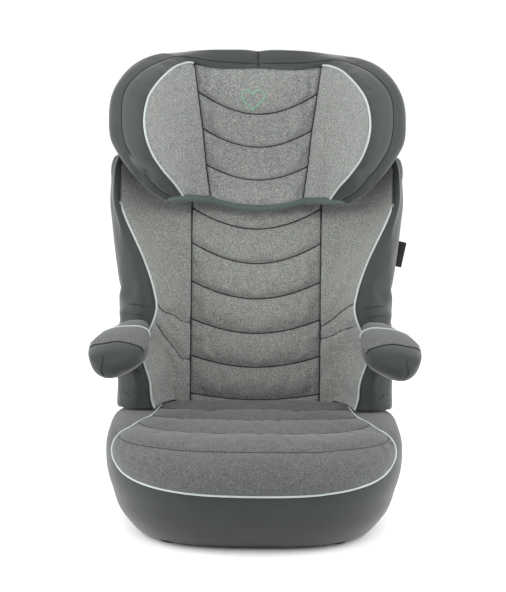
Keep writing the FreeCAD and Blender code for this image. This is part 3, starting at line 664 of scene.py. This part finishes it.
def seat_grid(base):
    """Light seat panel: flat at the back, sewn across in channels, rolling over the nose."""
    centre, side, sewn, puff = (np.array(column, float) for column in zip(*SEAT))
    knots = lengths(centre)
    lines = knots[sewn == 1]
    at = rows_between(list(lines), 5.0)
    middle, edge, swell = spline(knots, centre, at), spline(knots, side, at), np.interp(at, knots, puff)
    columns = 71
    t = np.linspace(0, pi / 2, 60)
    power = 2 / 2.15
    across, drop = np.sin(t) ** power, 1 - np.cos(t) ** power
    grid = []
    for m, e in zip(middle, edge):
        half = np.stack([e[0] * across, m[1] + (e[1] - m[1]) * drop, m[2] + (e[2] - m[2]) * drop], axis=1)
        right = evenly(half[np.argsort(half[:, 0])], columns // 2 + 1)
        grid.append(np.concatenate([mirrored(right)[:0:-1], right]))
    grid = np.array(grid)
    u = np.abs(np.linspace(-1, 1, columns))
    for edge in ((slice(None), 0), (slice(None), -1), (-1, slice(None))):
        grid[edge] = on_surface(grid[edge], base, COVER_GAP)
    room = np.minimum(1 - u[None, :] ** 3, np.clip((at[-1] - at[:, None]) / 20, 0, 1))
    grid = settle(grid, base, COVER_GAP + SEAT_STUFFING * room)
    lift = channels(at, lines) * swell
    grid = grid + outward(grid, (0, -0.4, 1)) * (lift[:, None] * (1 - u ** 8))[..., None]
    pins = held_edges(grid)
    pins[np.isin(at, lines)] = True
    return grid, pins


def outer_edge(grid):
    """Line of the seat piping: down one side, round the nose and back up the other."""
    return np.concatenate([grid[:, -1], grid[-1, -2:0:-1], grid[::-1, 0]])


# --- backrest --------------------------------------------------
def back_front(z):
    t = np.clip((np.asarray(z, float) - RECESS_FROM) / (RECESS_TO - RECESS_FROM), 0, 1)
    return PAD_FRONT + (RECESS_FRONT - PAD_FRONT) * t * t * (3 - 2 * t)


def back_panel_grid():
    """Centre panel of the backrest, quilted in smile-shaped channels."""
    heights = [z for z, rise in BACK_LINES]
    at = rows_between(heights, 5.2)
    rise = np.interp(at, heights, [r for z, r in BACK_LINES])
    columns = 41
    u = np.linspace(-1, 1, columns)
    z = at[:, None] + rise[:, None] * np.abs(u) ** 1.9
    x = np.broadcast_to(u * PAD_HALF, z.shape)
    lift = channels(at, heights)[:, None] * (1 - np.abs(u) ** 14) * 5.0
    grid = np.stack([x, back_front(z) - lift, z], axis=-1)
    pins = held_edges(grid)
    pins[np.isin(at, heights)] = True
    return grid, pins


def wing_table(at):
    table = np.array(WING, float)
    return spline(table[:, 0], table[:, 1:], at)


def over_base(grid):
    """Trims the lower rows along the top of the base, lower where they pass behind it."""
    low, high = WING[0][0], WING[0][0] + 150
    limit = HINGE_Z + (BASE_CLEAR - HINGE_Z + (grid[..., 1] - HINGE_Y) * sin(LEAN)) / cos(LEAN)
    world_y = HINGE_Y + (grid[..., 1] - HINGE_Y) * cos(LEAN) + (limit - HINGE_Z) * sin(LEAN)
    limit = limit - HEM_DROP * np.clip((world_y - BEHIND_BASE) / 3, 0, 1)
    share = np.clip((high - grid[..., 2]) / (high - low), 0, 1) ** 2
    grid = grid.copy()
    grid[..., 2] += (limit - low) * share
    return grid


def wing_face_grid():
    """Light inner face of the wing, from the centre seam out to the piping."""
    low, high = WING[0][0], WING[-1][0]
    at = np.linspace(low, high, 76)
    sections = []
    for z, (px, py, _) in zip(at, wing_table(at)):
        front = float(back_front(z))
        run, rise = px - PAD_HALF, front - py
        sections.append([(PAD_HALF, front, z), (PAD_HALF + 0.46 * run, front - 0.16 * rise, z),
                         (PAD_HALF + 0.83 * run, front - 0.50 * rise, z), (px, py, z)])
    grid = np.array([along(s, 21) for s in sections])
    v = np.linspace(0, 1, 21)
    room = np.clip((450 - at) / 60, 0.15, 1)[:, None]
    lift = room * np.sin(pi * v) ** 0.8 * 3.5
    grid = grid + outward(grid, (-0.4, -1, 0)) * lift[..., None]
    grid = over_base(grid)
    pins = held_edges(grid, ends=True)
    pins[at > RECESS_FROM] = True
    return grid, pins


def dart_groove(grid, lines):
    """How far each point of a wing's face is pulled in by its sewn darts."""
    depth = np.zeros(grid.shape[:2])
    for line in lines:
        path = along(line, 40)
        gap = np.hypot(grid[..., 0, None] - path[:, 0], grid[..., 2, None] - path[:, 1]).min(axis=-1)
        depth = np.maximum(depth, 2.4 * np.exp(-(gap / 5.0) ** 2))
    return depth


def side_path(z, px, py, out):
    return [(px, py, z), (px + 0.45 * (out - px), py - 7, z), (out - 5, py + 9, z), (out, 64, z),
            (out - 3, 92, z), (out - 12, 106, z), (out - 26, 111, z)]


def side_cover_grid():
    """Dark side of the backrest, from the piping round to the hem at the back, closed at the top."""
    low, high = WING[0][0], WING[-1][0]
    at = np.linspace(low, high, 72)
    columns = 43
    rows = [along(side_path(z, *row), columns) for z, row in zip(at, wing_table(at))]
    rim = rows[-1]
    face = along([rim[0], (rim[0][0] - 30, 74, high), (rim[0][0] - 44, 100, high)], columns)
    for share, rise in ((0.12, 3.0), (0.34, 5.0), (0.62, 5.5), (0.9, 4.5)):
        rows.append(rim + (face - rim) * share + (0, 0, rise))
    grid = np.array(rows)
    folds = sum(fold(grid, *ridge) for ridge in FOLDS)
    grid = grid + outward(grid, (1, -0.3, 0)) * (waver(grid, 110, 1.0, 11) + folds[..., None])
    grid = over_base(grid)
    pins = held_edges(grid, ends=True)
    pins[-5] = True
    return grid, pins


def fold(grid, centre, direction, width, length, height):
    """Soft ridge of slack fabric through a point."""
    d = np.asarray(direction, float) / np.linalg.norm(direction)
    offset = grid - np.asarray(centre, float)
    along_it = offset @ d
    across = np.linalg.norm(offset - along_it[..., None] * d, axis=-1)
    ridge = np.exp(-(across / width) ** 2) - 0.6 * np.exp(-((across - 1.5 * width) / width) ** 2)
    return height * ridge * np.exp(-(along_it / length) ** 2)


# --- armrests --------------------------------------------------
def arm_section(y, x0, x1, z0, z1):
    outline = np.array(ARM_OUTLINE, float)
    low, high = outline.min(axis=0), outline.max(axis=0)
    unit = (outline - low) / (high - low)
    return np.column_stack([x0 + unit[:, 0] * (x1 - x0), np.full(len(unit), float(y)),
                            z0 + unit[:, 1] * (z1 - z0)])


ARM_TOP_COLUMNS, ARM_LOW_COLUMNS = 22, 27
ARM_PANEL_REAR = 0.0      # the light top panel runs from here to a wavy seam near the nose
ARM_PANEL_FRONT = (-46, -55, -54, -63, -66)


def arm_grid():
    """Armrest sleeve; columns start at the outer top edge, cross the top and return underneath."""
    rings = []
    for row in ARM:
        ring = arm_section(*row)
        top = along(ring[:7], ARM_TOP_COLUMNS)
        low = along(np.concatenate([ring[6:], ring[:1]]), ARM_LOW_COLUMNS)
        rings.append(np.concatenate([top, low[1:]]))
    rings = np.array(rings)
    depth = lengths(np.array([(row[0], row[4]) for row in ARM], float))
    grid = spline(depth, rings, np.linspace(0, depth[-1], 44))
    middle = grid[-1, :-1].mean(axis=0)
    cap = []
    for share, ahead in ((0.72, 2.6), (0.42, 4.4), (0.12, 5.2)):
        cap.append(middle + (grid[-1] - middle) * share + (0, -ahead, 0))
    return np.concatenate([grid, np.array(cap)])


# --- headrest --------------------------------------------------
def head_seam_x(z):
    return np.interp(z, HEAD_SEAM_Z, HEAD_SEAM_X)


def head_panel_grid():
    heights = [z for z, rise in HEAD_LINES]
    at = rows_between(heights, 4.6)
    rise = np.interp(at, heights, [r for z, r in HEAD_LINES])
    u = np.linspace(-1, 1, 39)
    z = at[:, None] + rise[:, None] * np.abs(u) ** 2.0
    x = u * head_seam_x(z)
    lift = channels(at, heights)[:, None] * (1 - np.abs(u) ** 14) * 5.5
    grid = np.stack([x, HEAD_FRONT - lift, z], axis=-1)
    pins = held_edges(grid)
    pins[np.isin(at, heights)] = True
    return grid, pins


def rim(table, count):
    """One rim line of the right wing, evenly read by its row number."""
    return spline(range(len(table)), np.array(table, float), np.linspace(0, count[0], count[1]))


def head_wing_grid():
    """Light inner face of the headrest wing, hollowed between the centre seam and the piping."""
    pipe = rim(RIM_PIPE, (12, 62))
    grid = []
    for px, py, z in pipe:
        seam = head_seam_x(z)
        run, rise = max(px - seam, 1.0), HEAD_FRONT - py
        grid.append(along([(seam, HEAD_FRONT, z), (seam + 0.42 * run, HEAD_FRONT - 0.20 * rise, z),
                           (seam + 0.80 * run, HEAD_FRONT - 0.58 * rise, z), (seam + run, py, z)], 23))
    grid = np.array(grid)
    v = np.linspace(0, 1, 23)
    width = (np.linalg.norm(grid[:, -1] - grid[:, 0], axis=1) / 100)[:, None]
    grid = grid + outward(grid, (-1, -1, 0)) * (3.0 * width * np.sin(pi * v) ** 0.8)[..., None]
    return grid, held_edges(grid, ends=True)


def whole_rim(table, rows):
    """Rim line from the lower end of the left wing over the top to the lower end of the right."""
    right = rim(table, (len(table) - 1, rows))
    return np.concatenate([mirrored(right), right[-2::-1]])


BAND_INNER = 10           # columns of the band's inner part, up to its outer seam
BAND_PUFF = 3.8           # how far the stuffed outer part stands out


def head_band_grid():
    """Dark cover of the headrest: inner band, outer shell and the hem behind, in one strap."""
    lines = [whole_rim(t, 64) for t in (RIM_PIPE, RIM_SEAM, RIM_OUT, RIM_REAR, RIM_HEM)]
    pipe, seam, out, rear, hem = lines
    centre = np.stack([np.zeros(len(pipe)), np.full(len(pipe), 40.0), np.full(len(pipe), 560.0)], axis=1)
    grid = []
    for i in range(len(pipe)):
        share = np.linspace(0, 1, BAND_INNER + 1)
        inner = pipe[i] + (seam[i] - pipe[i]) * share[:, None]
        width = np.linalg.norm(seam[i] - pipe[i])
        bulge = min(5.0, 0.16 * width) * np.sin(pi * share) ** 0.8
        inner[:, 1] -= bulge
        middle = (seam[i] + out[i]) / 2
        ahead = (middle - centre[i]) / np.linalg.norm(middle - centre[i])
        middle = middle + 0.2 * np.linalg.norm(out[i] - seam[i]) * ahead
        outer = along([seam[i], middle, out[i], rear[i], hem[i]], 32)
        grid.append(np.concatenate([inner, outer[1:]]))
    grid = np.array(grid)
    away = grid - centre[:, None]
    away /= np.linalg.norm(away, axis=-1, keepdims=True)
    grid = grid + away * waver(grid, 120, 0.8, 5)
    notch = 3.0 * np.exp(-(grid[..., 0] / 3.5) ** 2) - BAND_PUFF
    outer_part = np.clip((np.arange(grid.shape[1]) - BAND_INNER + 4) / 7.0, 0, 1)
    reach = np.abs(np.arange(grid.shape[1]) - BAND_INNER)
    wide = np.clip(np.linalg.norm(seam - pipe, axis=1) / 20, 0, 1)[:, None]
    groove = 1.2 * np.exp(-(reach / 1.2) ** 2) * wide
    grid = grid - away * (notch * outer_part + groove)[..., None]
    pins = held_edges(grid, ends=True)
    pins[:, BAND_INNER] = pins[len(grid) // 2] = True
    return grid, pins


def band_hint(grid):
    """Direction away from the middle of the head, for every point of the band."""
    return lean(grid) - lean(np.array([0.0, 70.0, 560.0]))


def askew(points):
    """The headrest's cover hangs a little lower on the right, less so towards the back."""
    p = np.array(points, float)
    p[..., 2] -= TILT * np.clip(p[..., 0], -110, 110) * np.clip((90 - p[..., 1]) / 40, 0, 1)
    return p


def head_hem_path():
    half = along(HEM, 60)
    return np.concatenate([mirrored(half)[::-1], half[1:]])


# --- assembling the soft goods --------------------------------------------------
def add_panels(base):
    grid, pins = seat_grid(base)
    panel("seat_panel", grid, pins, (0, -0.4, 1), "heather_shaded_seat", "base", ease=0.012, cap=2.5,
          sewn=sewn_rows(pins))
    grid, pins = back_panel_grid()
    thick = np.minimum(15.0, PAD_REAR - back_front(grid[..., 2]))[..., None]
    panel("back_panel", lean(grid), pins, (0, -1, 0), "heather_mid", "backrest", thick=thick,
          ease=0.03, cap=4, sewn=sewn_rows(pins))
    grid, pins = head_panel_grid()
    panel("head_panel", lean(askew(grid)), pins, (0, -1, 0), "heather_lit_head", "headrest", thick=20,
          ease=0.03, cap=4, sewn=sewn_rows(pins))
    face, face_pins = wing_face_grid()
    cover, cover_pins = side_cover_grid()
    wing, wing_pins = head_wing_grid()
    for side, flip in SIDES:
        turn = np.array([flip, 1, 1])
        sewn = face - outward(face, (-0.4, -1, 0)) * dart_groove(face, DARTS[side])[..., None]
        panel("back_wing_" + side, lean(sewn * turn), face_pins, (-0.4 * flip, -1, 0), "heather_mid",
              "backrest", thick=9, ease=0.012, cap=4)
        panel("back_side_" + side, lean(cover * turn), cover_pins, (flip, -0.3, 0), "dark_knit", "backrest",
              thick=4, ease=0.004, cap=2, pressure=1.0, fill=0.8)
        panel("head_wing_" + side, lean(askew(wing * turn)), wing_pins, (-flip, -1, 0), "heather_lit_head",
              "headrest", thick=8, ease=0.012, cap=4)
    grid, pins = head_band_grid()
    seams = np.zeros(pins.shape, bool)
    seams[:, BAND_INNER] = seams[len(grid) // 2] = True
    panel("head_band", lean(askew(grid)), pins, band_hint(grid), "dark_knit_lit_head", "headrest", thick=4.5,
          ease=0.004, cap=2, pressure=1.0, fill=0.8, sewn=seams)
    for p in PANELS.values():
        p["rest"] = p["grid"].copy()


REPLACED = {
    "seat_panel": ["seat_cover"], "back_panel": ["backrest_foam", "backrest_cover"],
    "head_panel": ["head_foam", "head_cover"],
    "head_band": ["head_side_cover_left", "head_side_cover_right", "head_top_cover"],
}


def build_soft_goods(base):
    add_panels(base)
    swell_all()
    made = finish_panels()
    for name, nodes in REPLACED.items():
        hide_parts(*nodes)
    for side in ("left", "right"):
        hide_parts("wing_pad_" + side)
        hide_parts("side_cover_" + side)
        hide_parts("head_wing_pad_" + side)


def build_arms():
    right = arm_grid()
    rows, columns = right.shape[:2]
    for side, flip in SIDES:
        grid = right * (flip, 1, 1)
        middle = grid[:, :-1].mean(axis=1, keepdims=True)
        away = grid - middle
        away /= np.maximum(np.linalg.norm(away, axis=-1, keepdims=True), 1e-6)
        grid = grid + away * waver(grid, 60, 0.8, 21 + flip)
        grid[:, -1] = grid[:, 0]
        tip = grid[-1, :-1].mean(axis=0) + (0, -0.3, 0)
        faces = quads(rows, columns)
        last = (rows - 1) * columns
        faces += [(last + j, last + j + 1, rows * columns) for j in range(columns - 1)]
        points = np.concatenate([grid.reshape(-1, 3), [tip]])
        obj = make_mesh("armrest_" + side, points, faces, "dark_knit_shaded_low", "backrest")
        merge_doubles(obj)
        soften(obj)
        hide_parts("armrest_pad_" + side, "armrest_core_" + side)
        top = arm_top_grid(grid)
        below = top - 2.4 * outward(top, (0, -0.2, 1))
        closed_pad("armrest_top_" + side, top, below, (0, -0.2, 1), "heather_shaded_seat", "backrest")
        edge = np.concatenate([top[::-1, 0], top[0, 1:]])
        piping("armrest_piping_" + side, along(edge, 60), "backrest", 1.5)
        seam("armrest_front_seam_" + side, along(top[-1], 30), "backrest", 0.8)
        tree = surface_tree(grid)
        drop = [(flip * (219 + 2 * sin(z / 7)), -90, z) for z in np.linspace(264, 217, 24)]
        seam("armrest_nose_seam_" + side, on_surface(drop, tree, -0.2), "backrest", 0.8)


def merge_doubles(obj):
    bm = bmesh.new()
    bm.from_mesh(obj.data)
    bmesh.ops.remove_doubles(bm, verts=bm.verts, dist=1e-6)
    bmesh.ops.recalc_face_normals(bm, faces=bm.faces)
    bm.to_mesh(obj.data)
    bm.free()


def arm_top_grid(arm):
    """Light panel over the armrest's upper face, ending where the nose turns down."""
    top = arm[:, :ARM_TOP_COLUMNS]
    grid = []
    for k in range(1, ARM_TOP_COLUMNS - 1):
        column = top[:, k]
        limit = np.interp(k / (ARM_TOP_COLUMNS - 1), np.linspace(0, 1, len(ARM_PANEL_FRONT)), ARM_PANEL_FRONT)
        rear, front = np.interp((-ARM_PANEL_REAR, -limit), -column[:, 1], np.arange(len(column)))
        at = np.linspace(rear, front, 24)
        grid.append(np.stack([np.interp(at, np.arange(len(column)), column[:, i]) for i in range(3)], axis=1))
    grid = np.array(grid).transpose(1, 0, 2)
    u = np.sin(pi * np.linspace(0, 1, grid.shape[1])) ** 0.6
    v = np.sin(pi * np.linspace(0, 1, grid.shape[0])) ** 0.6
    return grid + outward(grid, (0, -0.2, 1)) * (0.7 + 2.2 * v[:, None] * u)[..., None]


def piping(name, path, body, radius=1.6):
    return tube(name, path, radius, "piping_cord", body)


def seam(name, path, body, radius=0.8):
    return tube(name, path, radius, "thread_and_groove_shade", body, sides=6)


def surface_tree(grid):
    rows, columns = grid.shape[:2]
    return BVHTree.FromPolygons([Vector(p) for p in grid.reshape(-1, 3)], quads(rows, columns))


def add_seams():
    """Sewn lines: the quilting rows and the side seams of each centre panel, and the headrest band. The
    quilting threads are drawn thick and dark: real stitching, with painted shade of the sewn grooves.
    """
    for name, body in (("seat_panel", "base"), ("back_panel", "backrest"), ("head_panel", "headrest")):
        p = PANELS[name]
        rows = np.flatnonzero(p["sewn"][:, 3])
        shift = 0.3 * outward(p["rest"], p["hint"])
        for k, row in enumerate(rows[1:-1]):
            # The backrest's and headrest's quilting threads are thickened: real stitching, partly painted
            # shade of the sewn grooves.
            width = 0.4 if name == "seat_panel" else 1.1
            seam(f"{name}_seam_{k}", (p["rest"] + shift)[row], body, width)
        if name != "seat_panel":
            for side, column in (("left", 0), ("right", -1)):
                seam(f"{name}_edge_{side}", along((p["rest"] + shift)[:, column], 90), body, 0.9)
    band = PANELS["head_band"]["grid"]
    away = outward(band, PANELS["head_band"]["hint"])
    seam("head_band_seam", (band + 0.3 * away)[:, BAND_INNER], "headrest", 0.75)
    seam("head_band_join", (band + 0.3 * away)[len(band) // 2], "headrest", 0.8)
    for side, flip in SIDES:
        face = surface_tree(PANELS["back_wing_" + side]["grid"])
        for k, line in enumerate(DARTS[side]):
            seam(f"wing_dart_{side}_{k}", press_on(along(line, 30), face, flip), "backrest", 0.8)
        cover = surface_tree(PANELS["back_side_" + side]["grid"])
        # Thin dark strips along the dark side's creases: painted crease shade, not stitching.
        for k, line in enumerate(CREASE_SHADE_LINES):
            width = 0.15 + 0.5 * np.sin(np.linspace(0, pi, 18))
            seam(f"side_crease_shade_{side}_{k}", press_on(along(line, 18), cover, flip), "backrest", width)


def press_on(flat, tree, flip=1):
    """Points at upright x and height, laid on a leaned surface from the front."""
    far = lean(np.column_stack([flip * flat[:, 0], np.full(len(flat), FRONT_OF_ALL), flat[:, 1]]))
    ahead = Vector((0, cos(LEAN), -sin(LEAN)))
    hits = [tree.ray_cast(Vector(p), ahead)[0] for p in far]
    return np.array([hit for hit in hits if hit is not None])


def wing_edge(low, high, count, proud):
    """Line of the wing's piping between two heights, a little proud of the cover."""
    z = np.linspace(low, high, count)
    rows = wing_table(z)
    return np.column_stack([rows[:, 0] + 0.6, rows[:, 1] - proud, z])


def build_trims():
    piping("seat_piping", along(outer_edge(PANELS["seat_panel"]["rest"]), 260), "base", 1.7)
    wing = over_base(wing_edge(WING[0][0], PIPING_TOP, 120, 1.2))
    wing_end = wing_edge(PIPING_TOP, WING[-1][0], 40, 0.8)
    for side, flip in SIDES:
        piping("back_piping_" + side, lean(wing * (flip, 1, 1)), "backrest")
        seam("wing_top_seam_" + side, lean(wing_end * (flip, 1, 1)), "backrest", 1.5)
        pipe = rim(RIM_PIPE, (12, 110)) * (flip, 1, 1)
        piping("head_piping_" + side, lean(askew(pipe + (0, -1.0, 0))), "headrest")
    hem = head_hem_path()
    width = 3.2 + 2.0 * np.clip((134 - np.abs(hem[:, 0])) / 30, 0, 1)
    tube("head_hem", lean(askew(hem)), width, "binding_tape", "headrest", flat=0.6)
    make_emblem()
    make_tag()
    make_strap()


def make_emblem():
    """Plain heart outline embroidered on the head panel."""
    t = np.linspace(0, 2 * pi, 72, endpoint=False)
    x = 16 * np.sin(t) ** 3
    z = 13 * np.cos(t) - 5 * np.cos(2 * t) - 2 * np.cos(3 * t) - np.cos(4 * t)
    tree = surface_tree(PANELS["head_panel"]["grid"])
    line = np.column_stack([EMBLEM[0] + 1.08 * x, EMBLEM[1] + 1.08 * z])
    tube("heart_embroidery", press_on(line, tree), 0.7, "mint_thread", "headrest", closed=True, sides=6)


def make_tag():
    """Blank woven tag, folded in half and sewn into the right wing's outer edge."""
    u, v = np.linspace(0, 1, 9), np.linspace(0, 1, 17)
    low, high = np.array(TAG_LOW), np.array(TAG_HIGH)
    grid = []
    for share in v:
        root = low + (high - low) * share
        grid.append([(root[0] + TAG_REACH * a, 62 - 1.6 * sin(pi * a) * (1 - 0.4 * share),
                      root[1] - 3.5 * a) for a in u])
    grid = lean(np.array(grid))
    obj = closed_pad("blank_tag", grid, grid + (0, 1.1, 0), (0, -1, 0), "label_tape", "backrest")
    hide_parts("side_label")


def make_strap():
    """Woven pull strap between the latch and the release handle."""
    xs, zs = np.meshgrid(np.linspace(-STRAP_HALF, STRAP_HALF, 7), np.linspace(STRAP_LOW, STRAP_HIGH, 40))
    slack = 0.5 * np.sin((zs - STRAP_LOW) / (STRAP_HIGH - STRAP_LOW) * pi)
    front = lean(np.stack([xs, 108.3 - slack, zs], axis=-1))
    back = lean(np.stack([xs, 110.4 - slack, zs], axis=-1))
    obj = closed_pad("webbing_strap", front, back, (0, -1, 0), "webbing", "release_handle")
    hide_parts("pull_strap")


# --- studio --------------------------------------------------
def make_camera():
    data = bpy.data.cameras.new("camera")
    camera = add_object("camera", data)
    data.lens, data.sensor_width = LENS, SENSOR
    pitch, yaw, roll = (radians(angle) for angle in CAMERA_ANGLES)
    aim = Matrix.Rotation(yaw, 4, "Z") @ Matrix.Rotation(pi / 2 - pitch, 4, "X")
    camera.matrix_world = Matrix.Translation(CAMERA_PLACE) @ aim @ Matrix.Rotation(roll, 4, "Z")
    scene.camera = camera


def area_light(name, place, aim, size, power):
    data = bpy.data.lights.new(name, "AREA")
    data.shape, data.size, data.size_y, data.energy = "RECTANGLE", size[0], size[1], power
    light = add_object(name, data)
    light.location = place
    light.rotation_euler = (Vector(aim) - Vector(place)).to_track_quat("-Z", "Y").to_euler()


def make_studio():
    world = bpy.data.worlds.new("studio")
    world.use_nodes = True
    tree = world.node_tree
    back = tree.nodes["Background"]
    where = tree.nodes.new("ShaderNodeTexCoord")
    split = tree.nodes.new("ShaderNodeSeparateXYZ")
    ramp = tree.nodes.new("ShaderNodeMapRange")
    for socket, value in (("From Min", -0.9), ("From Max", 0.5), ("To Min", 0.55), ("To Max", 1.45)):
        ramp.inputs[socket].default_value = value
    tree.links.new(where.outputs["Generated"], split.inputs[0])
    tree.links.new(split.outputs["Y"], ramp.inputs["Value"])
    tree.links.new(ramp.outputs[0], back.inputs["Strength"])
    back.inputs["Color"].default_value = (1, 1, 1, 1)
    scene.world = world
    scene.view_settings.view_transform = "Standard"
    for light in LIGHTS:
        area_light(*light)
    floor = bpy.data.meshes.new("floor")
    floor.from_pydata([(-30, -30, 0), (30, -30, 0), (30, 30, 0), (-30, 30, 0)], [], [(0, 1, 2, 3)])
    obj = add_object("floor", floor)
    paper = bpy.data.materials.new("studio_paper")
    paper.use_nodes = True
    paper.node_tree.nodes["Principled BSDF"].inputs["Base Color"].default_value = (0.93, 0.93, 0.93, 1)
    paper.node_tree.nodes["Principled BSDF"].inputs["Roughness"].default_value = 0.9
    floor.materials.append(paper)


make_materials()
dress_cad()
build_soft_goods(base_cover())
build_arms()
add_seams()
build_trims()
make_camera()
make_studio()
